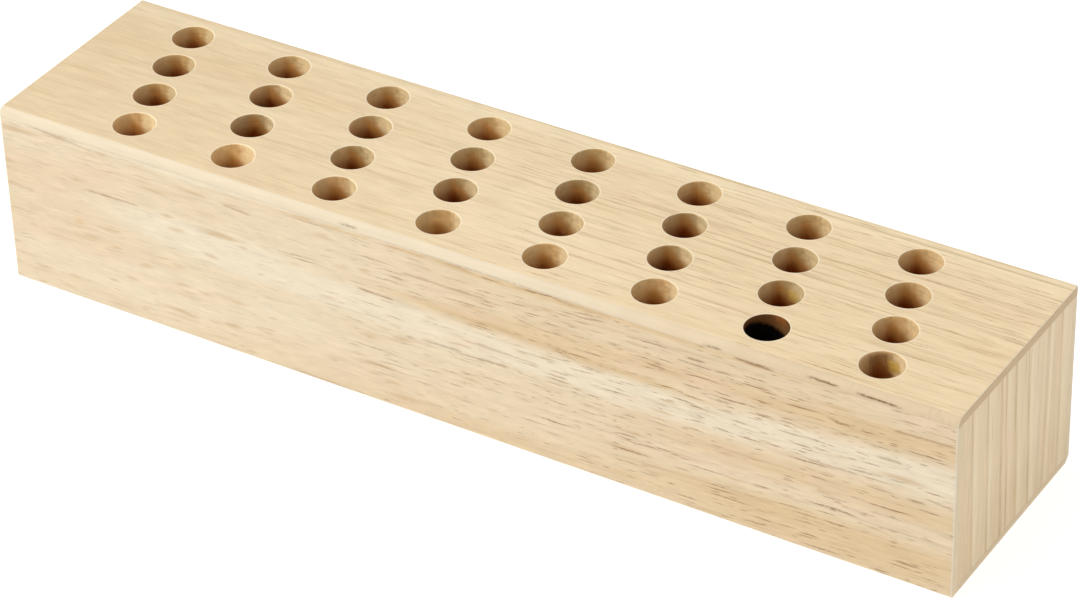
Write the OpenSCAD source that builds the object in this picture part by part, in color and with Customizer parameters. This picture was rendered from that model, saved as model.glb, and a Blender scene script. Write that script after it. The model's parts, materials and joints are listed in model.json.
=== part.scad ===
// Tool storage caddy: a long block of light wood with four rows of holes in its top. Thin face
// boards are glued around a core of staves. The holes are drilled right through the top and the
// core before the bottom board goes on, and that board closes them.
// +X runs along the block, +Y to its back and +Z up. The origin is the middle of its base.

/* [Block] */
// Length of the finished block along X
block_length = 350; // [330:5:400]
// Depth of the finished block along Y, front face to back face
block_width = 80; // [80:1:100]
// Height of the finished block
block_height = 66.4; // [40.4:1:90.4]
// Thickness of the face boards and of the end panels
board_thickness = 3.2; // [2.4:0.2:4]

/* [Holes] */
// Diameter of a tool hole
hole_diameter = 14; // [8:0.5:15]
// Height and width of the bevel that breaks the edge of each hole's mouth
mouth_break = 0.15; // [0.05:0.05:0.4]
// Holes in each row, along the block
hole_columns = 8; // [1:1:8]
// Distance between neighbouring holes of a row
column_pitch = 39; // [17:1:40]
// Distance between neighbouring rows
row_pitch = 18; // [17:0.5:19]
// How far each row stands further to +X than the row behind it
row_shift = 5; // [0:0.5:8]
// Distance of the hole grid's middle from the middle of the block, along X
grid_offset_x = -1.3; // [-5:0.1:5]
// Distance of the hole grid's middle from the middle of the block, along Y
grid_offset_y = 0.9; // [-1:0.1:1]

/* [Edges] */
// Radius of the long edge between the top and the front face
front_top_radius = 3.2; // [1:0.2:4]
// Radius of the long edge between the top and the back face
back_top_radius = 0.6; // [0.4:0.2:4]
// Radius of the long edge between the front face and the base
front_base_radius = 1.6; // [0.4:0.2:4]
// Radius of the long edge between the back face and the base
back_base_radius = 6; // [1:0.5:7]
// Radius of the short edges at the ends of the top
end_top_radius = 0.4; // [0.2:0.1:1]
// Radius of the short edges at the ends of the base
end_base_radius = 1.2; // [0.2:0.1:2]
// Radius of the four upright edges
upright_radius = 0.6; // [0.2:0.1:1]

/* [Hidden] */
$fn = 96;

hole_rows = 4;              // row 1 is at the back, and each row has a stave of its own
core_length = block_length - 2 * board_thickness;
core_width = block_width - 2 * board_thickness;
core_height = block_height - 2 * board_thickness;
underside_of_top = block_height - board_thickness;
cut_spare = 1;              // how far a cutting shape runs past what it cuts

board_colour = "#ecd6b0";
end_colour = "#d8c3a3";
stave_colours = ["#d9b88c", "#c9b491", "#c4ad8a", "#ddb48c"];

// Places of the rows and of their holes
function row_y(row) = grid_offset_y + ((hole_rows + 1) / 2 - row) * row_pitch;
function hole_x(row, column) = grid_offset_x + (column - (hole_columns + 1) / 2) * column_pitch
    + (row - (hole_rows + 1) / 2) * row_shift;

// Glue lines of the core: half way between two rows, and at the outer faces of the core
function stave_back(row) = row == 1 ? core_width / 2 : row_y(row) + row_pitch / 2;
function stave_front(row) = row == hole_rows ? -core_width / 2 : row_y(row) - row_pitch / 2;

// One corner of a section: the square left standing there is swapped for a quarter of a circle
module corner_cut(at, inwards, radius) {
    translate(at)
        turned_inwards(inwards)
            difference() {
                translate([-cut_spare, -cut_spare]) square(radius + cut_spare);
                translate([radius, radius]) circle(radius);
            }
}

// Turns a shape made for a low left corner to the corner that inwards points away from
module turned_inwards(inwards) {
    mirror([inwards[0] < 0 ? 1 : 0, 0])
        mirror([0, inwards[1] < 0 ? 1 : 0])
            children();
}

// A rectangle centred on u, standing on v = 0, with its own radius at each corner
module rounded_section(width, height, low_left, low_right, top_left, top_right) {
    difference() {
        translate([-width / 2, 0]) square([width, height]);
        corner_cut([-width / 2, 0], [1, 1], low_left);
        corner_cut([width / 2, 0], [-1, 1], low_right);
        corner_cut([-width / 2, height], [1, -1], top_left);
        corner_cut([width / 2, height], [-1, -1], top_right);
    }
}

// The outside of the sanded block: what its end view, front view and plan have in common
module sanded_block() {
    intersection() {
        rotate([90, 0, 90])
            linear_extrude(block_length + 2 * cut_spare, center = true)
                rounded_section(block_width, block_height, front_base_radius, back_base_radius,
                                front_top_radius, back_top_radius);
        rotate([90, 0, 0])
            linear_extrude(block_width + 2 * cut_spare, center = true)
                rounded_section(block_length, block_height, end_base_radius, end_base_radius,
                                end_top_radius, end_top_radius);
        linear_extrude(block_height)
            translate([0, -block_width / 2])
                rounded_section(block_length, block_width, upright_radius, upright_radius,
                                upright_radius, upright_radius);
    }
}

// A square-edged blank between two opposite corners
module blank(low, high) {
    translate(low) cube(high - low);
}

// One tool hole: a straight bore down to the bottom board, and the bevel at its mouth
module tool_hole(row, column) {
    translate([hole_x(row, column), row_y(row), 0]) {
        translate([0, 0, board_thickness - cut_spare])
            cylinder(h = core_height + board_thickness + 2 * cut_spare, d = hole_diameter);
        translate([0, 0, block_height - mouth_break])
            cylinder(h = mouth_break + cut_spare, d1 = hole_diameter,
                     d2 = hole_diameter + 2 * (mouth_break + cut_spare));
    }
}

// The top covers the whole block, and all the holes pass through it
module top_board() {
    color(board_colour)
        difference() {
            intersection() {
                sanded_block();
                blank([-block_length, -block_width, underside_of_top],
                      [block_length, block_width, block_height + cut_spare]);
            }
            for (row = [1 : hole_rows], column = [1 : hole_columns])
                tool_hole(row, column);
        }
}

// A long upright board under the top. side is -1 for the front and 1 for the back
module long_board(side) {
    color(board_colour)
        intersection() {
            sanded_block();
            blank([-block_length, side < 0 ? -block_width : core_width / 2, -cut_spare],
                  [block_length, side < 0 ? -core_width / 2 : block_width, underside_of_top]);
        }
}

// The bottom board lies between the two upright boards and is the floor of every hole
module bottom_board() {
    color(board_colour)
        intersection() {
            sanded_block();
            blank([-block_length, -core_width / 2, -cut_spare],
                  [block_length, core_width / 2, board_thickness]);
        }
}

// An end panel fills the frame of the four boards. side is -1 for the left and 1 for the right
module end_panel(side) {
    color(end_colour)
        intersection() {
            sanded_block();
            blank([side < 0 ? -block_length : core_length / 2, -core_width / 2, board_thickness],
                  [side < 0 ? -core_length / 2 : block_length, core_width / 2, underside_of_top]);
        }
}

// A lengthwise stave of the core, drilled through for one row of holes
module core_stave(row) {
    color(stave_colours[row - 1])
        difference() {
            blank([-core_length / 2, stave_front(row), board_thickness],
                  [core_length / 2, stave_back(row), underside_of_top]);
            for (column = [1 : hole_columns])
                tool_hole(row, column);
        }
}

top_board();
long_board(-1);  // front_board
long_board(1);  // back_board
bottom_board();
end_panel(-1);  // left_end_panel
end_panel(1);  // right_end_panel
core_stave(1);  // core_stave_1
core_stave(2);  // core_stave_2
core_stave(3);  // core_stave_3
core_stave(4);  // core_stave_4
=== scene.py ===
# Tool storage caddy: the finish of its boards and holes, and the small studio it stands in.
# Lengths are in millimetres up to the moment a mesh is made, and z is up.
import json
import math

import bpy
import numpy as np
from mathutils import Matrix, Vector


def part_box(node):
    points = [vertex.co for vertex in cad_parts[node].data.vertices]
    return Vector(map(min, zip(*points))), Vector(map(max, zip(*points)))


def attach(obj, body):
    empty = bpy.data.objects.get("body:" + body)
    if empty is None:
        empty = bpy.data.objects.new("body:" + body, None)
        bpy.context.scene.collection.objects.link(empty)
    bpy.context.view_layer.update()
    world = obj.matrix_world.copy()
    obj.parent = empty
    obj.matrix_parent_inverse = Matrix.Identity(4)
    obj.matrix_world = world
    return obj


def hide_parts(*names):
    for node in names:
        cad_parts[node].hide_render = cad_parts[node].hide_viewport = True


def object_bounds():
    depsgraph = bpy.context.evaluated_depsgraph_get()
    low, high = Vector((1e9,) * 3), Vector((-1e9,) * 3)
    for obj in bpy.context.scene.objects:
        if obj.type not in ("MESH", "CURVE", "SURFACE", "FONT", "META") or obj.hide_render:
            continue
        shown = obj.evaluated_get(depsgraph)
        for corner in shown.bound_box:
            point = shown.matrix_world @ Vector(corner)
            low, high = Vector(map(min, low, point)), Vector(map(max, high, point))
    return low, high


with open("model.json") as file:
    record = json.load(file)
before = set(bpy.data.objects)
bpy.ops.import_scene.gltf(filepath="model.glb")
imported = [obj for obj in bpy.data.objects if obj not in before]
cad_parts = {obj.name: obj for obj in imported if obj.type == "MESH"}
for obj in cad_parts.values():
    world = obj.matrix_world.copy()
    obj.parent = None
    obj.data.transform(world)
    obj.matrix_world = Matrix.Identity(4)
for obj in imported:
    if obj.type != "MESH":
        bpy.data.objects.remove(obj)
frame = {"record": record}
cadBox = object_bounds()
metre = 1000.0
weldSteps = 500  # points nearer than a 500th of a millimetre are one


def boxOf(name):
    low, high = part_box(name)
    return np.array(low) * metre, np.array(high) * metre


blockLow, blockHigh = (np.array(corner) * metre for corner in cadBox)
holes = {}
for mount in frame["record"]["mounts"]:
    if mount["kind"] == "bore":
        row, column = (int(word[3:]) for word in mount["name"].split("_")[-2:])
        holes[row, column] = np.array(mount["pos_m"]) * metre
        holeRadius = mount["dims"]["r_mm"]
rowCount = max(row for row, column in holes)
columnCount = max(column for row, column in holes)
columnPitch = holes[1, 2][0] - holes[1, 1][0]
rowPitch = holes[1, 1][1] - holes[2, 1][1]
rowLean = (holes[2, 1][0] - holes[1, 1][0]) / -rowPitch  # x gained for each mm towards the back
gridMiddle = sum(holes.values()) / len(holes)


# Places from low to high: each step is a fixed share longer than the last, from both ends
# inwards, until it reaches the coarse step that fills the middle.
def stations(low, high, fine, coarse, growth=1.5):
    offsets = np.concatenate([[0], np.cumsum(np.minimum(fine * growth ** np.arange(40), coarse))])
    offsets = offsets[offsets < (high - low) / 2 - coarse / 4]
    gap = high - low - 2 * offsets[-1]
    middle = np.linspace(low + offsets[-1], high - offsets[-1], max(2, math.ceil(gap / coarse) + 1))
    return np.concatenate([low + offsets[:-1], middle, (high - offsets[:-1])[::-1]])


# A patch is an array of points [u, v, xyz] whose outward side is du x dv. Points of all the
# patches that fall on each other become one vertex, so the borders of the patches close.
def weld(patches):
    points, quads, count = [], [], 0
    for grid, keep in patches:
        index = np.arange(grid.shape[0] * grid.shape[1]).reshape(grid.shape[:2]) + count
        corners = np.stack([index[:-1, :-1], index[1:, :-1], index[1:, 1:], index[:-1, 1:]], -1)
        quads.append(corners[keep] if keep is not None else corners.reshape(-1, 4))
        points.append(grid.reshape(-1, 3))
        count += index.size
    points, quads = np.concatenate(points), np.concatenate(quads)
    keys = np.floor(points * weldSteps + 0.317).astype(np.int64)  # the shift keeps even lengths off a border
    first, inverse = np.unique(keys, axis=0, return_index=True, return_inverse=True)[1:]
    quads = inverse.reshape(-1)[quads]
    used, quads = np.unique(quads, return_inverse=True)
    return points[first][used], quads.reshape(-1, 4)


# Three coordinates, each an array or one number, as one patch of points
def patch(x, y, z):
    return np.stack(np.broadcast_arrays(x, y, z), -1).astype(float)


# A square-edged block as six flat patches on the given places along each axis
def blockPatches(xs, ys, zs):
    x, y, z = (np.asarray(v, float) for v in (xs, ys, zs))
    across, up = x[:, None], z[None, :]
    return [
        (patch(across, y[None, :], z[-1]), None),
        (patch(x[None, :], y[:, None], z[0]), None),
        (patch(across, y[0], up), None),
        (patch(x[None, :], y[-1], z[:, None]), None),
        (patch(x[-1], y[:, None], up), None),
        (patch(x[0], y[None, :], z[:, None]), None),
    ]


drilling = {
    "cells": 16,  # grid cells along each side of the square that is left out round a hole
    "collar": 0.9,  # width of the flat ring round the mouth
    "mouthRings": 5,  # rings over the mouth's broken edge
}


# A board with holes. Its plan is a grid that leans with the ranks of holes and straightens
# towards the board's ends: x = s + lean * (y - middle) * share(s). Round each hole a square of
# cells is left out, and a sleeve takes its place, from the edge of the square in to the mouth,
# over the mouth's broken edge, down the wall and out again underneath.
def drilledPatches(low, high, rows, edge):
    halfPitch = columnPitch / 2
    firstHole = gridMiddle[0] - (columnCount - 1) * halfPitch
    zoneLow, zoneHigh = firstHole - halfPitch, firstHole + (columnCount - 0.5) * columnPitch
    side = drilling["cells"]
    cells = np.linspace(zoneLow, zoneHigh, columnCount * side + 1)
    leftEnd = stations(low[0], zoneLow, edge["fine"], edge["coarse"])
    rightEnd = stations(zoneHigh, high[0], edge["fine"], edge["coarse"])
    s = np.concatenate([leftEnd[:-1], cells, rightEnd[1:]])
    limits = [max(low[1], holes[rows[-1], 1][1] - rowPitch / 2)]
    limits += [holes[row, 1][1] + rowPitch / 2 for row in reversed(rows)]
    limits[-1] = min(limits[-1], high[1])
    if limits[0] - low[1] < rowPitch / 4 and len(rows) == 1:
        limits[0] = low[1]
    if high[1] - limits[-1] < rowPitch / 4 and len(rows) == 1:
        limits[-1] = high[1]
    y = np.concatenate([np.linspace(a, b, side + 1)[:-1] for a, b in zip(limits, limits[1:])] + [limits[-1:]])
    frontRows = stations(low[1], limits[0], edge["fine"], edge["coarse"])[:-1] if limits[0] > low[1] else []
    backRows = stations(limits[-1], high[1], edge["fine"], edge["coarse"])[1:] if limits[-1] < high[1] else []
    y = np.concatenate([frontRows, y, backRows])
    share = np.interp(s, [low[0], zoneLow, zoneHigh, high[0]], [0, 1, 1, 0])
    x = s[:, None] + rowLean * (y[None, :] - gridMiddle[1]) * share[:, None]
    z = stations(low[2], high[2], edge["fine"], edge["coarse"])
    keep = np.ones((len(s) - 1, len(y) - 1), bool)
    starts = []
    for rank, row in enumerate(reversed(rows)):
        for column in range(columnCount):
            i = len(leftEnd) - 1 + column * side
            j = len(frontRows) + rank * side
            keep[i:i + side, j:j + side] = False
            starts.append((i, j, holes[row, column + 1]))
    top = patch(x, y[None, :], high[2])
    patches = [
        (top, keep),
        (patch(x, y[None, :], low[2]).swapaxes(0, 1), keep.T),
        (patch(x[:, :1], y[0], z[None, :]), None),
        (patch(x[:, -1][None, :], y[-1], z[:, None]), None),
        (patch(high[0], y[:, None], z[None, :]), None),
        (patch(low[0], y[None, :], z[:, None]), None),
    ]
    for i, j, centre in starts:
        rim = np.concatenate([top[i:i + side, j], top[i + side, j:j + side],
                              top[i + side:i:-1, j + side], top[i, j + side:j:-1]])
        patches.append((sleeve(rim, centre, low[2], high[2], edge), None))
    return patches


# A ring of points is centre + (radius + outward) * (cos turn, sin turn) at its height, and the
# first turn points at the front left corner of the square
def sleeve(rim, centre, floor, roof, edge):
    turn = np.radians(225) + np.linspace(0, 2 * math.pi, len(rim), endpoint=False)
    ray = np.stack([np.cos(turn), np.sin(turn)], -1)
    ease = np.linspace(0, math.pi / 2, drilling["mouthRings"])
    outward = np.concatenate([[drilling["collar"]], edge["mouth"] * (1 - np.sin(ease))])
    downward = np.concatenate([[0], edge["mouth"] * (1 - np.cos(ease))])
    wall = np.linspace(roof - edge["mouth"], floor + edge["foot"],
                       2 + int((roof - floor) / edge["wallStep"]))[1:-1]
    outward = np.concatenate([outward, 0 * wall, [0, edge["foot"], drilling["collar"]]])
    height = np.concatenate([roof - downward, wall, [floor + edge["foot"], floor, floor]])
    rings = centre[:2] + ray[:, None, :] * (holeRadius + outward)[None, :, None]
    body = patch(rings[..., 0], rings[..., 1], height[None, :])
    top, bottom = rim[:, None, :], rim[:, None, :].copy()
    bottom[..., 2] = floor
    whole = np.concatenate([top, body, bottom], 1)
    return np.concatenate([whole, whole[:1]], 0)


# Pulls what stands outside a quarter circle in the corner of two axes back onto it. inwards
# gives the sign of the way into the wood, and the radius may change from point to point.
def roundCorner(points, axes, corner, inwards, radius):
    p, q = axes
    a = radius - (points[:, p] - corner[0]) * inwards[0]
    b = radius - (points[:, q] - corner[1]) * inwards[1]
    reach = np.hypot(a, b)
    outside = (a > 0) & (b > 0) & (reach > radius)
    scale = np.where(outside, radius / np.maximum(reach, 1e-9), 1)
    points[:, p] = np.where(outside, corner[0] + inwards[0] * (radius - a * scale), points[:, p])
    points[:, q] = np.where(outside, corner[1] + inwards[1] * (radius - b * scale), points[:, q])


# A slow wave that never repeats over the block, between -1 and 1
def drift(t, seed):
    return (np.sin(t / 31 + seed) + np.sin(t / 13.7 + 2.3 * seed) + np.sin(t / 71 + 4.1 * seed)) / 3


# The outer arrises as sanding leaves them. The three views of the block are done in turn: its
# end view, its front view and its plan.
sanding = {
    "frontTop": 3.2, "backTop": 0.6, "frontBase": 1.6, "backBase": 6.0,
    "endTop": 0.4, "endBase": 1.2, "upright": 0.8,
    "uneven": 0.12,  # share by which a radius changes along the arris
    "longShare": 0.35,  # how much of that the two largest rounds have
    "sharpAngle": 38,  # a steeper arris is not shaded over
}


def sand(points):
    low, high = blockLow, blockHigh
    x, y, z = points.T.copy()
    wave = 1 + sanding["uneven"] * drift(x, 1.0)
    long = 1 - sanding["longShare"] * sanding["uneven"] * (1 + drift(x, 2.0))
    roundCorner(points, (1, 2), (low[1], high[2]), (1, -1), sanding["frontTop"] * long)
    roundCorner(points, (1, 2), (high[1], high[2]), (-1, -1), sanding["backTop"] * wave)
    roundCorner(points, (1, 2), (low[1], low[2]), (1, 1), sanding["frontBase"] * wave)
    roundCorner(points, (1, 2), (high[1], low[2]), (-1, 1), sanding["backBase"] * long)
    wave = 1 + sanding["uneven"] * drift(3 * y, 3.0)
    for end, inwards in ((low[0], 1), (high[0], -1)):
        roundCorner(points, (0, 2), (end, high[2]), (inwards, -1), sanding["endTop"] * wave)
        roundCorner(points, (0, 2), (end, low[2]), (inwards, 1), sanding["endBase"] * wave)
        wave = 1 + sanding["uneven"] * drift(3 * z, 4.0 + inwards)
        roundCorner(points, (0, 1), (end, low[1]), (inwards, 1), sanding["upright"] * wave)
        roundCorner(points, (0, 1), (end, high[1]), (inwards, -1), sanding["upright"] * wave)


# Breaks a board's own twelve edges by a hair, so that two boards meet in a fine groove
def breakEdges(points, low, high, size):
    for p, q in ((0, 1), (0, 2), (1, 2)):
        for a, signA in ((low[p], 1), (high[p], -1)):
            for b, signB in ((low[q], 1), (high[q], -1)):
                roundCorner(points, (p, q), (a, b), (signA, signB), size)


# One finished piece: its patches are welded, its edges broken and sanded with the whole block's,
# and it takes the place of its node
def makePiece(name, patches, node, material, edge):
    low, high = boxOf(node)
    points, quads = weld(patches)
    breakEdges(points, low, high, edge["seam"])
    sand(points)
    mesh = bpy.data.meshes.new(name)
    mesh.from_pydata(points / metre, [], quads.tolist())
    mesh.update()
    mesh.polygons.foreach_set("use_smooth", np.ones(len(quads), bool))
    mesh.set_sharp_from_angle(angle=math.radians(sanding["sharpAngle"]))
    mesh.materials.append(material)
    piece = bpy.data.objects.new(name, mesh)
    bpy.context.scene.collection.objects.link(piece)
    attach(piece, "root")
    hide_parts(node)
    return piece


# A 0-255 screen colour as the light it stands for, by the usual screen curve
def light(*screen):
    part = np.array(screen) / 255
    return tuple(np.where(part > 0.04045, ((part + 0.055) / 1.055) ** 2.4, part / 12.92)) + (1.0,)


class Wire:
    # One output socket of a material. Operators on it add Math nodes.
    def __init__(self, finish, socket):
        self.finish = finish
        self.socket = socket

    def maths(self, operation, *terms, clamp=False):
        return self.finish.add("Math", {"operation": operation, "use_clamp": clamp}, dict(enumerate(terms)))

    def __add__(self, other):
        return self.maths("ADD", self, other)

    def __radd__(self, other):
        return self.maths("ADD", other, self)

    def __sub__(self, other):
        return self.maths("SUBTRACT", self, other)

    def __rsub__(self, other):
        return self.maths("SUBTRACT", other, self)

    def __mul__(self, other):
        return self.maths("MULTIPLY", self, other)

    def __rmul__(self, other):
        return self.maths("MULTIPLY", other, self)

    def __truediv__(self, other):
        return self.maths("DIVIDE", self, other)

    def __rtruediv__(self, other):
        return self.maths("DIVIDE", other, self)

    def __pow__(self, other):
        return self.maths("POWER", self, other)

    def __neg__(self):
        return self.maths("MULTIPLY", self, -1.0)

    def size(self):
        return self.maths("ABSOLUTE", self)

    def held(self):
        return self.maths("ADD", self, 0.0, clamp=True)

    # The nearest whole number from 0 to most
    def nearest(self, most):
        whole = self.maths("ROUND", self)
        return self.maths("MINIMUM", self.maths("MAXIMUM", whole, 0.0), float(most))


class Finish:
    # A material under construction
    def __init__(self, name, roughness, specular):
        self.material = bpy.data.materials.new(name)
        self.material.use_nodes = True
        self.tree = self.material.node_tree
        self.shader = self.tree.nodes["Principled BSDF"]
        self.shader.inputs["Roughness"].default_value = roughness
        self.shader.inputs["Specular IOR Level"].default_value = specular
        place = self.add("TexCoord", {}, {}, "Object")
        scaled = self.add("VectorMath", {"operation": "SCALE"}, {0: place, "Scale": metre})
        self.x, self.y, self.z = (self.add("SeparateXYZ", {}, {0: scaled}, axis) for axis in "XYZ")

    # One node: its type, its settings, the values or links of its sockets, and the output wanted
    def add(self, kind, settings, sockets, output=0):
        node = self.tree.nodes.new("ShaderNode" + kind)
        for name, value in settings.items():
            setattr(node, name, value)
        for name, value in sockets.items():
            if isinstance(value, Wire):
                self.tree.links.new(value.socket, node.inputs[name])
            else:
                node.inputs[name].default_value = value
        return Wire(self, node.outputs[output])

    def feed(self, name, wire):
        self.tree.links.new(wire.socket, self.shader.inputs[name])

    def point(self, a, b, c):
        return self.add("CombineXYZ", {}, {0: a, 1: b, 2: c})

    # Soft noise from 0 to 1 round a middle of a half
    def noise(self, a, b, c, detail=2.0, rough=0.5):
        return self.add("TexNoise", {"noise_dimensions": "3D"}, {
            "Vector": self.point(a, b, c), "Scale": 1.0, "Detail": detail, "Roughness": rough}, "Fac")

    # 0 below start, 1 above end and a smooth climb between; it falls where end is below start
    def climb(self, value, start, end):
        return self.add("MapRange", {"interpolation_type": "SMOOTHSTEP", "clamp": True}, {
            "Value": value, "From Min": start, "From Max": end, "To Min": 0.0, "To Max": 1.0})

    def blend(self, factor, first, second):
        return self.add("Mix", {"data_type": "RGBA", "clamp_factor": True},
                        {0: factor, 6: first, 7: second}, 2)

    def times(self, colour, value):
        grey = self.add("CombineColor", {}, {0: value, 1: value, 2: value})
        return self.add("Mix", {"data_type": "RGBA", "blend_type": "MULTIPLY"},
                        {0: 1.0, 6: colour, 7: grey}, 2)

    # Lens-shaped marks stretched along the grain, at most one in each cell of a cell pattern.
    # A cell keeps its mark where its own random number is below share. Two more numbers make
    # the mark larger or smaller and darker or lighter, down to least of the most.
    def marks(self, along, across, deep, layer, share, least=0.3):
        length, width = layer["cell"]
        spot = self.point(along / length, across / width, deep / (3 * width))
        cells = {"Vector": spot, "Scale": 1.0, "Randomness": 1.0}
        distance = self.add("TexVoronoi", {"voronoi_dimensions": "3D"}, cells, "Distance")
        random = self.add("TexVoronoi", {"voronoi_dimensions": "3D"}, cells, "Color")
        parts = ("Red", "Green", "Blue")
        chance, girth, ink = (self.add("SeparateColor", {}, {0: random}, part) for part in parts)
        reach = (least + (1 - least) * girth) * layer["largest"]
        shape = self.climb(distance / reach, 1.0, 1.0 - layer["softness"])
        kept = self.climb(chance - share, 0.02, -0.02)
        return shape * kept * (least + (1 - least) * ink) * layer["depth"]


# What one board's wood is like. Sizes are in mm, and a size of (30, 0.8, 0.8) is along, across
# and into the grain. Colours are as on a screen under the studio's light. A range is a pair of
# noise values between which a pattern comes up.
ordinaryWood = {
    "axes": "xyz",  # the block's axes along the grain, across the face and into it
    "seed": 0.0,
    "light": 1.21,  # how much brighter than its own colour this face comes out
    "pale": (244, 228, 199), "tan": (230, 201, 157), "pore": (128, 77, 18), "blush": (240, 209, 177),
    "endGrain": (217, 197, 164), "endLight": 0.975,
    "wander": 2.4, "wanderSize": (95, 34, 34),  # how far the grain strays across the face
    "lean": 0.0,  # how far it drifts across for each mm along
    "ripple": 0.7, "rippleSize": (8, 3, 6),  # large sideways waves of the dashes
    "tremble": 0.4, "trembleSize": (1.6, 1.2, 3),  # and small ones
    "curl": 0.0,  # share by which the large waves grow where the dashes are faint
    "gain": 0.0,  # share by which the wood is lighter 100 mm further along
    "broad": (120, 11, 25), "broadDepth": 0.45,
    "poreRange": (1.0, 2.4),  # shares of tan between which it darkens on to the colour of the pores
    "cloud": (11, 2.4, 5), "cloudDepth": 0.12,
    "rosy": (48, 10, 12), "rosyRange": (0.48, 0.7), "blushDepth": 0.3,
    "fibre": (9, 0.5, 0.5), "fibreDepth": 0.14,
    "lines": (90, 1.5, 4), "lineRange": (0.52, 0.72), "lineDepth": 0.16,
    "dashes": [
        {"cell": (12, 0.8), "share": 0.9, "largest": 0.5, "softness": 0.6, "depth": 1.0},
        {"cell": (30, 1.0), "share": 0.85, "largest": 0.44, "softness": 0.7, "depth": 0.9},
        {"cell": (5, 0.7), "share": 0.8, "largest": 0.5, "softness": 0.8, "depth": 0.6},
    ],
    "stroke": (212, 180, 136),  # soft wide strokes under the dashes
    "strokes": [
        {"cell": (26, 3.4), "share": 1.0, "largest": 0.55, "softness": 1.0, "depth": 0.8},
        {"cell": (12, 2.6), "share": 0.7, "largest": 0.5, "softness": 1.0, "depth": 0.65},
    ],
    "sharp": (-120, 90, 0.3),  # from where to where along it the dashes come up, and their start
    "flock": (55, 8, 12), "flockRange": (0.32, 0.62),  # the dashes crowd into flocks
    "strays": 0.3,  # share of the dashes that is left between the flocks
    "paleCrowd": 0.5, "tanCrowd": 0.7,  # share of them in pale wood, and how much tan wood adds
    "gapRange": (0.22, 0.42),  # of the fibre, where the dashes break off
    "crumbs": (1.5, 0.5, 3), "crumbRange": (0.34, 0.5),
    "crumbLeast": 0.4,  # how dark a dash stays where it crumbles
    "bands": [],
    "nicks": (),  # single dark marks: middle along and across, length, rise over it, strength
    "nickHalf": 0.42, "nickSoft": 1.5, "nickTremble": 0.7, "nickLeast": 0.5,
    "roughness": 0.62, "fibreRough": 0.10, "poreRough": 0.12, "specular": 0.28,
    "relief": 0.00006, "fibreRelief": 0.35, "swell": 0.6,
}
tearing = {"across": 1.5, "range": (0.38, 0.58)}  # how a ragged streak breaks up


def shade(screen, lit):
    r, g, b, a = light(*screen)
    return (r / lit, g / lit, b / lit, a)


# A broad streak: a bell across the grain round a line that may slope and bend, faded in and
# out along the grain. strength is the share of tan that it adds, or takes where it is negative.
def streak(finish, along, across, band):
    line = band["at"] + band.get("slope", 0) * along + band.get("bend", 0) * (along * along)
    reach = (across - line) / band["half"]
    hill = finish.x.maths("EXPONENT", -(reach * reach))
    if "ragged" in band:
        tear = finish.noise(along / band["ragged"], across / tearing["across"], band["at"])
        hill = hill * finish.climb(tear, *tearing["range"])
    start, end, soft = band["span"]
    faded = finish.climb(along, start - soft, start + soft) * finish.climb(along, end + soft, end - soft)
    return hill * faded * band["strength"]


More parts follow.
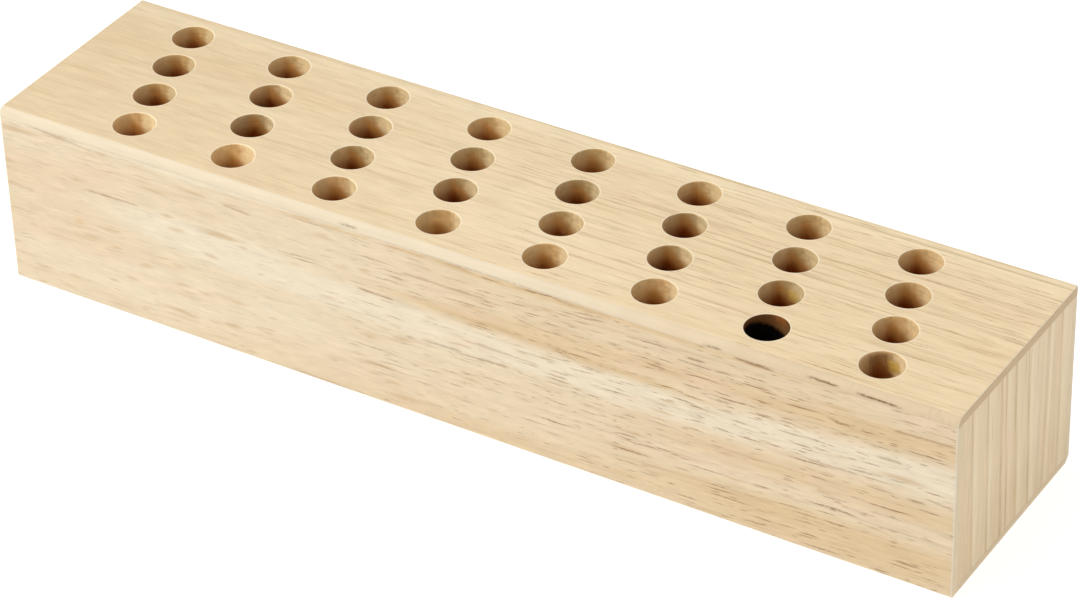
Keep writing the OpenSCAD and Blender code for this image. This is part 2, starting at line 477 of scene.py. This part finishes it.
# The grain of one board. It leaves on the finish the wires that later coats read.
def woodFinish(name, look):
    finish = Finish(name, look["roughness"], look["specular"])
    lit = look["light"]
    along, across, deep = (getattr(finish, axis) for axis in look["axes"])
    far = along + 211.0 * look["seed"]  # no two boards show the same stretch of a pattern

    def field(size, sideways):
        return finish.noise(far / size[0], sideways / size[1], deep / size[2])

    waved = across + look["wander"] * (field(look["wanderSize"], across) - 0.5)
    ripple = field(look["rippleSize"], across) - 0.5
    tremble = field(look["trembleSize"], across) - 0.5
    start, end, least = look["sharp"]
    sharp = least + (1 - least) * finish.climb(along, start, end)
    curled = look["ripple"] * (1 + look["curl"] * (1 - sharp))
    grain = waved - look["lean"] * along + curled * ripple + look["tremble"] * tremble

    # start keeps one pattern from following another
    def pattern(size, start, detail=2.0, rough=0.55):
        return finish.noise(far / size[0] + start, grain / size[1], deep / size[2], detail, rough)

    broad = 0.5 + look["broadDepth"] * 2 * (pattern(look["broad"], 3.1, 3.0) - 0.5)
    tone = broad
    for band in look["bands"]:
        tone = tone + streak(finish, along, waved, band)
    colour = finish.blend(tone.held(), shade(look["pale"], lit), shade(look["tan"], lit))
    colour = finish.blend(finish.climb(tone, *look["poreRange"]), colour, shade(look["pore"], lit))
    rosy = finish.climb(pattern(look["rosy"], 31.0), *look["rosyRange"])
    colour = finish.blend(rosy * look["blushDepth"], colour, shade(look["blush"], lit))
    cloud = pattern(look["cloud"], 23.0, 3.0) - 0.5
    fibre = pattern(look["fibre"], 7.7, 3.0)
    brightness = 1 + look["gain"] * along / 100 + 2 * look["cloudDepth"] * cloud
    colour = finish.times(colour, brightness + 2 * look["fibreDepth"] * (fibre - 0.5))
    lines = finish.climb(pattern(look["lines"], 11.9, 3.0, 0.6), *look["lineRange"])
    colour = finish.blend(lines * sharp * look["lineDepth"], colour, shade(look["pore"], lit))
    flock = finish.climb(field(look["flock"], grain), *look["flockRange"])
    crowd = look["strays"] + (1 - look["strays"]) * flock
    crowd = crowd * (look["paleCrowd"] + look["tanCrowd"] * broad.held())
    crumbs = finish.climb(field(look["crumbs"], grain), *look["crumbRange"])
    crumbled = look["crumbLeast"] + (1 - look["crumbLeast"]) * crumbs
    unbroken = finish.climb(fibre, *look["gapRange"]) * crumbled
    for layer in look["strokes"]:
        found = finish.marks(far, grain, deep, layer, layer["share"])
        colour = finish.blend(found, colour, shade(look["stroke"], lit))
    pores = lines * 0.0  # none yet
    for layer in look["dashes"]:
        share = layer["share"] * crowd * (0.5 + 0.5 * sharp)
        found = finish.marks(far, grain, deep, layer, share) * unbroken * sharp
        pores = pores.maths("MAXIMUM", pores, found)
    finish.pores = pores
    for middle, height, length, rise, strength in look["nicks"]:
        slope = rise / length
        nick = {"at": height - slope * middle, "slope": slope, "half": look["nickHalf"],
                "strength": strength,
                "span": (middle - length / 2, middle + length / 2, look["nickSoft"])}
        found = streak(finish, along, waved + look["nickTremble"] * tremble, nick)
        worn = look["nickLeast"] + (1 - look["nickLeast"]) * unbroken
        pores = pores.maths("MAXIMUM", pores, found * worn)
    finish.colour = finish.blend(pores, colour, shade(look["pore"], lit))
    finish.cloud = cloud
    finish.fibre = fibre
    finish.along, finish.across, finish.deep = along, across, deep
    return finish


crossCut = {
    "pores": (9, 0.4, 0.4), "poreRange": (0.55, 0.75), "poreDepth": 0.2,
    "rings": (40, 7, 1.3), "ringDepth": 0.16, "brightness": 1.05,
    "facing": (0.8, 0.95),  # how square to the grain a face has to be, as a cosine
    # worn is the pale arris: sanded wear with a painted highlight on it
    "worn": (252, 240, 216), "wornShare": 0.65, "wornFrom": (0.1, 0.35), "wornTo": (0.95, 0.7),
}


# Where a face cuts the grain square across, it is darker and shows the pores as dots, and the
# arris before it is worn pale and carries a painted highlight
def cutAcross(finish, look, colour):
    normal = finish.add("TexCoord", {}, {}, "Normal")
    facing = finish.add("SeparateXYZ", {}, {0: normal}, look["axes"][0].upper()).size()

    def speckle(size, rough):
        a, b, c = size
        return finish.noise(finish.along / a, finish.across / b, finish.deep / c, 2.0, rough)

    dots = finish.climb(speckle(crossCut["pores"], 0.6), *crossCut["poreRange"])
    rings = speckle(crossCut["rings"], 0.5) - 0.5
    brightness = crossCut["brightness"] - crossCut["poreDepth"] * dots - crossCut["ringDepth"] * rings
    grain = finish.times(shade(look["endGrain"], look["endLight"]), brightness)
    # painted highlight and wear on the arris, where the normal lies between the two faces
    worn = finish.climb(facing, *crossCut["wornFrom"]) * finish.climb(facing, *crossCut["wornTo"])
    colour = finish.blend(crossCut["wornShare"] * worn, colour, shade(crossCut["worn"], look["light"]))
    return finish.blend(finish.climb(facing, *crossCut["facing"]), colour, grain)


# The last coat: colour, a fine relief of fibres, pores and clouds, and a sheen that follows them
def seal(finish, look, colour):
    finish.feed("Base Color", colour)
    height = finish.fibre * look["fibreRelief"] - finish.pores + look["swell"] * finish.cloud
    bump = finish.add("Bump", {}, {"Strength": 1.0, "Distance": look["relief"], "Height": height}, "Normal")
    finish.feed("Normal", bump)
    fibreRough = look["roughness"] + look["fibreRough"] * (finish.fibre - 0.5)
    finish.feed("Roughness", fibreRough + look["poreRough"] * finish.pores)
    return finish.material


def boardFinish(name, look):
    look = {**ordinaryWood, **look}
    finish = woodFinish(name, look)
    return seal(finish, look, cutAcross(finish, look, finish.colour))


# The walls of the holes. They are warmer than the face, with painted shade that darkens them
# further down and painted light on their lit side, and each hole has its own tint. Depths are in
# mm below the top. The side of a point is where it is across the hole: -1 at the left wall and 1
# at the right one.
holeLook = {
    "light": 0.62,
    "warm": (188, 158, 108), "olive": (160, 138, 97), "rosy": (200, 166, 124),
    "oilyInner": 0.8, "oilyBack": 0.6, "oilyLuck": 0.5,  # how olive a hole is
    "rosyLast": 0.22, "rosyLuck": 0.3, "rosyFront": 0.25,  # and how rosy
    # marks down the wall and round it: how fine across, how far they shift with luck, size down
    "scrape": (0.8, 9, 7), "turns": (2.6, 5, 1.8),
    "scrapeDepth": 0.35, "turnDepth": 0.5, "luckDepth": 0.14,
    # painted shade down the wall: amber, then deep brown, then near black the further down it lies
    "amber": (156, 113, 63), "amberRange": (0.5, 5.0),
    "deep": (98, 44, 2), "deepRange": (4.0, 10.0),
    "pit": (48, 20, 2), "pitRange": (9.0, 13.5),
    "far": (196, 150, 98), "farRange": (14.0, 24.0),
    "sideways": (5.1, 4.6),  # how much deeper the right-hand side stays light, first and last column
    "sidePivot": -0.6,
    "frontRow": 2.2, "backRow": 0.5,  # how much deeper the light reaches in these rows
    "scrapeSunk": 1.2, "turnSunk": 2.2, "luckSunk": 2.4,  # how much the depths stray
    # painted light on the lit side of the wall, stronger in the front row
    "bright": (214, 196, 156), "brightShare": 0.66, "brightFade": 0.03,  # less for each column
    "frontGlow": 0.2,  # how much more of the bright tone the front row shows
    "glowSide": (-0.3, 0.2), "glowDepth": (5.5, 1.5), "glowTurns": 0.7, "glowLuck": 0.4,
    # painted light on the left edge of the wall: paler, and lifting the painted shade there
    "chalky": (186, 168, 134), "chalkSide": (-0.6, -0.95), "chalkShare": 0.55, "chalkLift": 0.35,
    # painted shadow: the darker stretch of the wall where the light does not reach
    "wedge": -0.62, "wedgeHalf": 0.26, "wedgeDepth": 1.5,  # the darker stretch of the wall
    "wedgeLuck": 0.5, "wedgeScrape": 0.4,
    "wallEdge": (0.2, 0.05),  # how far outside the hole's radius the face takes over
    # painted highlight: a pale ring round each mouth
    "rim": (250, 234, 204), "rimWidth": 0.4, "rimShare": 0.7,
    "rimInside": (0.04, 0.14), "rimOutside": (0.15, -0.1), "rimDepth": (0.5, 0.3),  # how it fades
    "tints": [
        # the first tint, with scorch below, is painted shade that makes the hole in row 4, column 7 stand
        # dark
        {"row": 4, "column": 7, "colour": (94, 56, 18), "from": -3.0, "soft": 0.5, "share": 0.95},
        {"row": 4, "column": 7, "colour": (160, 92, 36), "from": -0.5, "soft": 1.0, "upTo": 2.0,
         "middle": 0.15, "half": 0.35, "share": 0.4},
        {"row": 4, "column": 8, "colour": (98, 58, 24), "from": 0.0, "soft": 2.0, "upTo": 9.0,
         "middle": -0.5, "half": 0.45, "share": 0.75},
        {"row": 3, "column": 7, "colour": (190, 162, 78), "from": 2.0, "soft": 2.0, "upTo": 6.0,
         "middle": 0.05, "half": 0.32, "share": 0.65},
        {"row": 4, "column": 8, "colour": (180, 148, 52), "from": 2.0, "soft": 2.0, "upTo": 6.0,
         "middle": 0.05, "half": 0.32, "share": 0.8},
    ],
    # painted shade: the hole in row 4, column 7 near black below a slanting depth
    "scorch": {"row": 4, "column": 7, "colour": (8, 4, 2), "from": 3.7, "soft": 2.2, "slant": 3.0,
               "share": 1.0},
}


# The hole nearest to a point: its row and column, from 1, and where the point is from its axis
def nearestHole(finish):
    first = holes[1, 1]
    row = 1 + ((first[1] - finish.y) / rowPitch).nearest(rowCount - 1)
    centreY = first[1] + rowPitch - row * rowPitch
    rankX = first[0] + (centreY - first[1]) * rowLean
    column = 1 + ((finish.x - rankX) / columnPitch).nearest(columnCount - 1)
    return row, column, finish.x - rankX + columnPitch - column * columnPitch, finish.y - centreY


# the patches are the stains and also the painted shade of the dark hole
stainAndShadeEdges = {
    "tornDepth": 1.2, "tornSide": 0.4,  # how far the scrapes tear the border of a stain
    "outside": 0.15, "inside": -0.25,  # where its sides fade
}


# A patch in one hole, used for the stains and for painted shade: it starts at a depth that may
# slant with the side, and may end at another depth and keep to a stretch of the wall
def stainAndShade(finish, stain, row, column, side, depth, torn):
    miss = (row - stain["row"]).size() + (column - stain["column"]).size()
    sunk = depth + stainAndShadeEdges["tornDepth"] * torn - stain.get("slant", 0) * side
    spread = finish.climb(miss, 0.6, 0.4) * finish.climb(sunk, stain["from"], stain["from"] + stain["soft"])
    if "upTo" in stain:
        spread = spread * finish.climb(sunk, stain["upTo"] + stain["soft"], stain["upTo"])
        away = (side + stainAndShadeEdges["tornSide"] * torn - stain["middle"]).size()
        ends = stain["half"] + stainAndShadeEdges["outside"], stain["half"] + stainAndShadeEdges["inside"]
        spread = spread * finish.climb(away, *ends)
    return spread * stain["share"]


# The walls from the drill with their painted shade and light, and the pale ring where each mouth is broken, a
# painted highlight
def drill(finish, colour):
    look = holeLook
    lit = look["light"]
    row, column, offX, offY = nearestHole(finish)
    out = (offX * offX + offY * offY) ** 0.5
    side = offX / holeRadius
    depth = blockHigh[2] - finish.z

    # A number that each hole draws for itself, from 0 to 1
    def lot(a, b):
        return finish.add("TexWhiteNoise", {"noise_dimensions": "2D"},
                          {"Vector": finish.point(a, b, 0.0)}, "Value")

    def coat(share, wall, name):
        return finish.blend(share, wall, shade(look[name], lit))

    # A climb between two distances from the axis, given as steps from a radius
    def past(radius, steps):
        return finish.climb(out, radius + steps[0], radius + steps[1])

    luck, chance = lot(row, column), lot(row + 17, column + 5)
    notBack = finish.climb(row, 1.4, 1.6)
    notFront = finish.climb(row, rowCount - 0.4, rowCount - 0.6)
    notFirst = finish.climb(column, 1.4, 1.6)
    notLast = finish.climb(column, columnCount - 0.4, columnCount - 0.6)
    inner = notFront * (look["oilyBack"] + (1 - look["oilyBack"]) * notBack) * (notFirst * notLast)
    oily = look["oilyInner"] * inner + look["oilyLuck"] * (luck - 0.5)
    wall = finish.blend(oily, shade(look["warm"], lit), shade(look["olive"], lit))
    rosy = look["rosyLast"] * (1 - notLast) + look["rosyFront"] * (1 - notFront)
    rosy = rosy + look["rosyLuck"] * luck * luck
    wall = coat(rosy, wall, "rosy")

    scale, shift, down = look["scrape"]
    scrape = finish.noise(offX * scale + shift * luck, offY * scale, depth / down, 3.0) - 0.5
    size, shift, down = look["turns"]
    turns = finish.noise(offX / size + shift * luck, offY / size, depth / down, 3.0) - 0.5

    # How far down a point looks to be: less where the light reaches deeper
    first, final = look["sideways"]
    lean = first + (final - first) / (columnCount - 1) * (column - 1)
    away = side - look["wedge"] + look["wedgeLuck"] * (chance - 0.5) + look["wedgeScrape"] * scrape
    away = away / look["wedgeHalf"]
    wedge = finish.x.maths("EXPONENT", -(away * away))
    sunk = depth - lean * (side - look["sidePivot"]) + look["wedgeDepth"] * wedge
    sunk = sunk + look["scrapeSunk"] * scrape + look["turnSunk"] * turns + look["luckSunk"] * (luck - 0.5)
    sunk = sunk - look["frontRow"] * (1 - notFront) - look["backRow"] * (1 - notBack)

    # painted shade and light on the wall follow, set by how far down a point looks to be
    wall = coat(finish.climb(sunk, *look["amberRange"]), wall, "amber")
    # painted light on the lit side
    lightSide = side + look["glowTurns"] * turns + look["glowLuck"] * (chance - 0.5)
    glow = finish.climb(lightSide, *look["glowSide"]) * finish.climb(sunk, *look["glowDepth"])
    brightShare = look["brightShare"] - look["brightFade"] * column + look["frontGlow"] * (1 - notFront)
    wall = coat(glow * brightShare, wall, "bright")
    # painted light on the left edge
    leftLit = finish.climb(side, *look["chalkSide"])
    wall = coat(look["chalkShare"] * leftLit, wall, "chalky")
    for tint in look["tints"]:
        spread = stainAndShade(finish, tint, row, column, side, depth, scrape)
        wall = finish.blend(spread, wall, shade(tint["colour"], lit))
    uneven = look["scrapeDepth"] * scrape + look["turnDepth"] * turns + look["luckDepth"] * (chance - 0.5)
    wall = finish.times(wall, 1 + uneven)
    # painted shade: darker further down the wall
    shadow = finish.climb(sunk, *look["deepRange"]) * (1 - look["chalkLift"] * leftLit)
    wall = coat(shadow, wall, "deep")
    wall = coat(finish.climb(sunk, *look["pitRange"]), wall, "pit")
    wall = coat(finish.climb(depth, *look["farRange"]), wall, "far")
    # painted shade of the dark hole
    holeShade = stainAndShade(finish, look["scorch"], row, column, side, depth, scrape)
    wall = finish.blend(holeShade, wall, shade(look["scorch"]["colour"], lit))

    colour = finish.blend(past(holeRadius, look["wallEdge"]), colour, wall)
    # painted highlight round the mouth
    rimHighlight = past(holeRadius, look["rimInside"]) * past(holeRadius + look["rimWidth"], look["rimOutside"])
    rimHighlight = rimHighlight * finish.climb(depth, *look["rimDepth"])
    return finish.blend(look["rimShare"] * rimHighlight, colour, shade(look["rim"], ordinaryWood["light"]))


topWood = {
    "seed": 1.0, "wander": 1.6, "broad": (150, 6, 20), "broadDepth": 0.4,
    "pale": (244, 224, 186), "tan": (232, 205, 164), "pore": (144, 102, 46), "blush": (240, 212, 176),
    "endGrain": (198, 173, 137), "gain": 0.05, "ripple": 0.5, "cloudDepth": 0.1,
    "lines": (110, 1.2, 4), "lineDepth": 0.36, "specular": 0.14,
    "dashes": [
        {"cell": (44, 1.0), "share": 1.0, "largest": 0.42, "softness": 0.7, "depth": 0.72},
        {"cell": (17, 0.8), "share": 1.0, "largest": 0.42, "softness": 0.7, "depth": 0.62},
    ],
    "stroke": (214, 184, 140),
    "strokes": [
        {"cell": (36, 3.0), "share": 1.0, "largest": 0.5, "softness": 1.0, "depth": 0.75},
    ],
    "sharp": (-130, 90, 0.3),
    "bands": [
        {"at": 18.0, "half": 6, "span": (-190, -70, 40), "strength": 0.3},
        {"at": 36.0, "half": 5, "span": (-190, 190, 10), "strength": -0.4},
        {"at": 0.0, "half": 6, "span": (-130, 30, 40), "strength": -0.3},
        {"at": -35.0, "half": 3, "span": (10, 150, 30), "strength": 0.2},
        {"at": -22.0, "half": 16, "span": (-40, 60, 40), "strength": -0.35},
        # painted shade: a thin darker line along the rounded back edge
        {"at": 39.7, "half": 0.35, "span": (-190, 190, 5), "strength": 0.9},
    ],
}


# The long rounded edge of the top board, from where the flat face ends: sanded pale, flecked
# by the rays near the right end and scored along the seam there, with painted shade along the seam in the
# middle
roundEdge = {
    "begins": (37.4, 37.75), "wobble": 0.6, "share": 0.92,  # distance from the middle
    "cream": (250, 233, 203), "dull": (240, 215, 178), "dark": (110, 70, 4), "light": 1.35,
    "dullRange": (10, 140), "dullWobble": 60,  # it turns dull along this stretch
    "cloud": (14, 3, 2), "cloudDepth": 0.16,
    "rays": (0.9, 2.5, 2.5), "rayRange": (0.5, 0.65), "rayStretch": (90, 160), "rayDepth": 0.07,
    "tear": (1.8, 0.7), "tearRange": (0.28, 0.56),  # how the scores break up, along and down
    "scores": [
        {"at": 64.75, "slope": -0.003, "half": 0.36, "span": (125.5, 134.8, 1.8), "strength": 0.9},
        {"at": 66.5, "slope": -0.016, "half": 0.34, "span": (142, 155.2, 2), "strength": 0.95},
        {"at": 63.8, "half": 0.4, "span": (90, 95.5, 1.5), "strength": 0.7},
        {"at": 64.6, "half": 0.4, "span": (-41, -35, 1.5), "strength": 0.5},
        # painted shade along the seam: a faint broad darkening at the foot of the pale edge, not a score
        {"at": 63.4, "half": 0.45, "span": (-20, 50, 20), "strength": 0.25},
    ],
}


def topFinish():
    look = {**ordinaryWood, **topWood}
    finish = woodFinish("topWood", look)
    x, y, z = finish.x, finish.y, finish.z
    lit = roundEdge["light"]
    wobble = finish.noise(x / 9, 0.0, 0.0) - 0.5
    edge = finish.climb(-y + roundEdge["wobble"] * wobble, *roundEdge["begins"])
    dull = finish.climb(x + roundEdge["dullWobble"] * wobble, *roundEdge["dullRange"])
    cream = finish.blend(dull, shade(roundEdge["cream"], lit), shade(roundEdge["dull"], lit))

    def field(size):
        return finish.noise(x / size[0], y / size[1], z / size[2])

    rays = finish.climb(field(roundEdge["rays"]), *roundEdge["rayRange"])
    rays = rays * finish.climb(x, *roundEdge["rayStretch"])
    clouds = roundEdge["cloudDepth"] * (field(roundEdge["cloud"]) - 0.5)
    cream = finish.times(cream, 1 + clouds - roundEdge["rayDepth"] * rays)
    tearAlong, tearDown = roundEdge["tear"]
    ragged = finish.climb(finish.noise(x / tearAlong, 0.0, z / tearDown), *roundEdge["tearRange"])
    for score in roundEdge["scores"]:
        dashed = streak(finish, x, z + 0.5 * wobble, score) * ragged
        cream = finish.blend(dashed, cream, shade(roundEdge["dark"], lit))
    colour = finish.blend(roundEdge["share"] * edge, finish.colour, cream)
    colour = cutAcross(finish, look, colour)
    return seal(finish, look, drill(finish, colour))


frontWood = {
    "axes": "xzy", "seed": 2.0, "lean": 0.028, "ripple": 0.95, "curl": 1.2, "swell": 1.5,
    "bands": [
        {"at": 36.3, "bend": 0.00022, "half": 5.2, "span": (-120, 190, 40), "strength": -0.85},
        {"at": 46.5, "slope": 0.04, "half": 5.0, "span": (0, 190, 40), "strength": 0.42},
        {"at": 44.6, "slope": -0.015, "half": 1.2, "span": (-15, 85, 25), "strength": 0.6},
        {"at": 51.0, "half": 5.0, "span": (125, 200, 20), "strength": 0.2},
        {"at": 27.0, "half": 4.0, "span": (70, 190, 30), "strength": 0.4},
        {"at": 27.0, "half": 6.0, "span": (-90, 10, 30), "strength": -0.2},
        {"at": 10.0, "slope": 0.01, "half": 5.0, "span": (80, 190, 40), "strength": 0.6},
        {"at": 3.0, "half": 4.0, "span": (-10, 200, 40), "strength": 0.32},
        {"at": 33.0, "half": 40.0, "span": (-260, -60, 60), "strength": -0.18},
        {"at": 36.0, "half": 8.0, "span": (-220, -120, 30), "strength": 0.2},
        {"at": 63.4, "half": 1.6, "span": (-220, -10, 40), "strength": -0.5},
        # the seam under the top board: a ragged darker line, with painted shade along it
        {"at": 62.4, "half": 0.8, "span": (-70, 60, 30), "strength": 0.6, "ragged": 7},
        {"at": 62.4, "half": 0.9, "span": (-70, 120, 40), "strength": 0.32},
        {"at": 31.6, "half": 1.6, "span": (-147.5, -144, 2), "strength": 0.5},
    ],
    "nicks": (
        (-153, 62.3, 30, -2.3, 0.3), (-131, 45.2, 20, 0.2, 0.38), (-81, 57.4, 10, -0.6, 0.38),
        (-29, 42.3, 13, -0.3, 0.5), (-3, 53.9, 30, 0.2, 0.35), (-4, 30.5, 13, 0.3, 0.4),
        (14, 30.2, 11, 0.8, 0.5), (17, 35.4, 27, 0.1, 0.3), (87, 57, 6, 0.1, 0.65),
        (107, 62.6, 13, -0.2, 0.7), (164, 55.2, 20, 0.6, 0.45), (153, 43.5, 8, 0.1, 0.45),
        (134, 34.3, 17, 0.2, 0.4), (162, 31.8, 5, 0.2, 0.6), (160, 7.4, 7, 0, 0.6),
    ),
}
backWood = {"axes": "xzy", "seed": 5.0}
baseWood = {"axes": "xyz", "seed": 6.0, "endGrain": (212, 190, 156)}
endWood = {
    "axes": "zyx", "seed": 3.0, "light": 0.975, "wander": 0.9, "broad": (260, 6, 20), "broadDepth": 0.45,
    "pale": (237, 218, 186), "tan": (214, 189, 149), "pore": (156, 126, 88), "blush": (232, 202, 170),
    "fibre": (30, 0.45, 0.45), "fibreDepth": 0.05, "lines": (140, 1.0, 5), "lineDepth": 0.2,
    "cloud": (14, 2.2, 5), "cloudDepth": 0.08,
    "dashes": [],
    "stroke": (196, 170, 134),
    "strokes": [
        {"cell": (34, 1.2), "share": 0.7, "largest": 0.45, "softness": 0.8, "depth": 0.7},
    ],
    # dark lines up the board: where each crosses its foot, and how far it leans to the back
    "rings": ((-28.0, -0.045), (-17.7, -0.047), (-8.4, -0.05), (-4.8, -0.06), (1.6, -0.06), (10.2, -0.055),
              (20.0, 0.01), (30.4, -0.012)),
    "ringHalf": 0.75, "ringStrength": 0.6, "ringRagged": 24,
    "haloShift": 2.0, "haloHalf": 1.5, "haloStrength": -0.3,
    "footHeight": 22, "footStrength": 0.16,
}
coreWood = {
    "axes": "xyz", "pale": (226, 196, 152), "tan": (196, 158, 112), "endGrain": (190, 160, 122),
    "roughness": 0.75, "specular": 0.1,
}


# A board of standing grain: each ring is a dark line with a lighter zone beside it
def endFinish(name, change):
    look = {**ordinaryWood, **endWood, **change}
    foot = {"at": 0, "half": 200, "span": (-50, look["footHeight"], 18), "strength": look["footStrength"]}
    look["bands"] = [foot]
    for at, slope in look["rings"]:
        line = {"slope": slope, "span": (-10, 90, 5)}
        dark = {"at": at, "half": look["ringHalf"], "strength": look["ringStrength"],
                "ragged": look["ringRagged"]}
        faint = {"at": at, "half": look["ringHalf"], "strength": look["ringStrength"] / 2}
        zone = {"at": at + look["haloShift"], "half": look["haloHalf"], "strength": look["haloStrength"]}
        look["bands"] += [{**line, **dark}, {**line, **faint}, {**line, **zone}]
    finish = woodFinish(name, look)
    return seal(finish, look, cutAcross(finish, look, finish.colour))


def coreFinish(name, change):
    look = {**ordinaryWood, **coreWood, **change}
    finish = woodFinish(name, look)
    return seal(finish, look, drill(finish, cutAcross(finish, look, finish.colour)))


# The grid's smallest and largest steps and its step down a hole, and how far a board's own
# edges, the mouths of its holes and their lower ends are broken
outerEdge = {"fine": 0.12, "coarse": 2.5, "wallStep": 0.8, "seam": 0.1, "mouth": 0.28, "foot": 0.02}
innerEdge = {"fine": 0.4, "coarse": 6.0, "wallStep": 2.5, "seam": 0.1, "mouth": 0.12, "foot": 0.02}


def makeBoard(name, node, material):
    low, high = boxOf(node)
    places = [stations(a, b, outerEdge["fine"], outerEdge["coarse"]) for a, b in zip(low, high)]
    return makePiece(name, blockPatches(*places), node, material, outerEdge)


allRows = list(range(1, rowCount + 1))
low, high = boxOf("top_board")
makePiece("toppedBoard", drilledPatches(low, high, allRows, outerEdge), "top_board",
          topFinish(), outerEdge)
makeBoard("frontBoard", "front_board", boardFinish("frontWood", frontWood))
makeBoard("backBoard", "back_board", boardFinish("backWood", backWood))
makeBoard("bottomBoard", "bottom_board", boardFinish("baseWood", baseWood))
leftWood = {"seed": 4.0, "rings": tuple((y, 0.03) for y in (-26, -14, -3, 5, 11, 24, 32))}
makeBoard("leftEndPanel", "left_end_panel", endFinish("leftEndWood", leftWood))
makeBoard("rightEndPanel", "right_end_panel", endFinish("rightEndWood", {}))
print("boards made")
for row in allRows:
    node = f"core_stave_{row}"
    low, high = boxOf(node)
    makePiece(f"coreStave{row}", drilledPatches(low, high, [row], innerEdge), node,
              coreFinish(f"staveWood{row}", {"seed": 10.0 + row}), innerEdge)
print("staves made")

# Azimuths are in degrees from the front round to the right
studio = {
    "aim": (11.12, -6.68, 33.2), "distance": 1338.5, "azimuth": 32.49, "elevation": 34.504,
    "roll": -1.7188, "lens": 140.83, "sensor": 36.0,
    "sky": 0.55, "floorColour": (0.5, 0.5, 0.5), "floorGlow": 0.75, "floorReach": 30.0,
    "floorLift": 0.03,  # so that the underside is seen from below and not the floor
    "keyAzimuth": -50, "keyElevation": 60, "keyDistance": 1500, "keySize": 900, "keyPower": 18,
}


def around(azimuth, elevation, distance):
    a, e = math.radians(azimuth), math.radians(elevation)
    return np.array([math.sin(a) * math.cos(e), -math.cos(a) * math.cos(e), math.sin(e)]) * distance


def aimed(thing, azimuth, elevation, distance, target, roll=0.0):
    place = (np.array(target) + around(azimuth, elevation, distance)) / metre
    way = Vector(-around(azimuth, elevation, 1.0))
    turn = way.to_track_quat("-Z", "Y").to_matrix().to_4x4() @ Matrix.Rotation(math.radians(roll), 4, "Z")
    thing.matrix_world = Matrix.Translation(Vector(place)) @ turn
    bpy.context.scene.collection.objects.link(thing)
    return thing


lens = bpy.data.cameras.new("camera")
lens.sensor_fit = "HORIZONTAL"
lens.sensor_width = studio["sensor"]
lens.lens = studio["lens"]
lens.clip_end = 50.0
bpy.context.scene.camera = aimed(bpy.data.objects.new("camera", lens), studio["azimuth"], studio["elevation"],
                                 studio["distance"], studio["aim"], studio["roll"])

key = bpy.data.lights.new("keyLight", "AREA")
key.shape = "SQUARE"
key.size = studio["keySize"] / metre
key.energy = studio["keyPower"]
aimed(bpy.data.objects.new("keyLight", key), studio["keyAzimuth"], studio["keyElevation"],
      studio["keyDistance"], (0, 0, 40))

world = bpy.data.worlds.new("studioSky")
world.use_nodes = True
world.node_tree.nodes["Background"].inputs["Color"].default_value = (1, 1, 1, 1)
world.node_tree.nodes["Background"].inputs["Strength"].default_value = studio["sky"]
bpy.context.scene.world = world
bpy.context.scene.view_settings.view_transform = "Standard"

floorFinish = Finish("floorFinish", 0.9, 0.0)
floorFinish.shader.inputs["Base Color"].default_value = (*studio["floorColour"], 1)
floorFinish.shader.inputs["Emission Color"].default_value = (1, 1, 1, 1)
floorFinish.shader.inputs["Emission Strength"].default_value = studio["floorGlow"]
mesh = bpy.data.meshes.new("floor")
far = studio["floorReach"]
lift = studio["floorLift"] / metre
mesh.from_pydata([(x, y, lift) for x, y in ((-far, -far), (far, -far), (far, far), (-far, far))],
                 [], [(0, 1, 2, 3)])
mesh.materials.append(floorFinish.material)
floor = bpy.data.objects.new("floor", mesh)
bpy.context.scene.collection.objects.link(floor)
print("studio made")
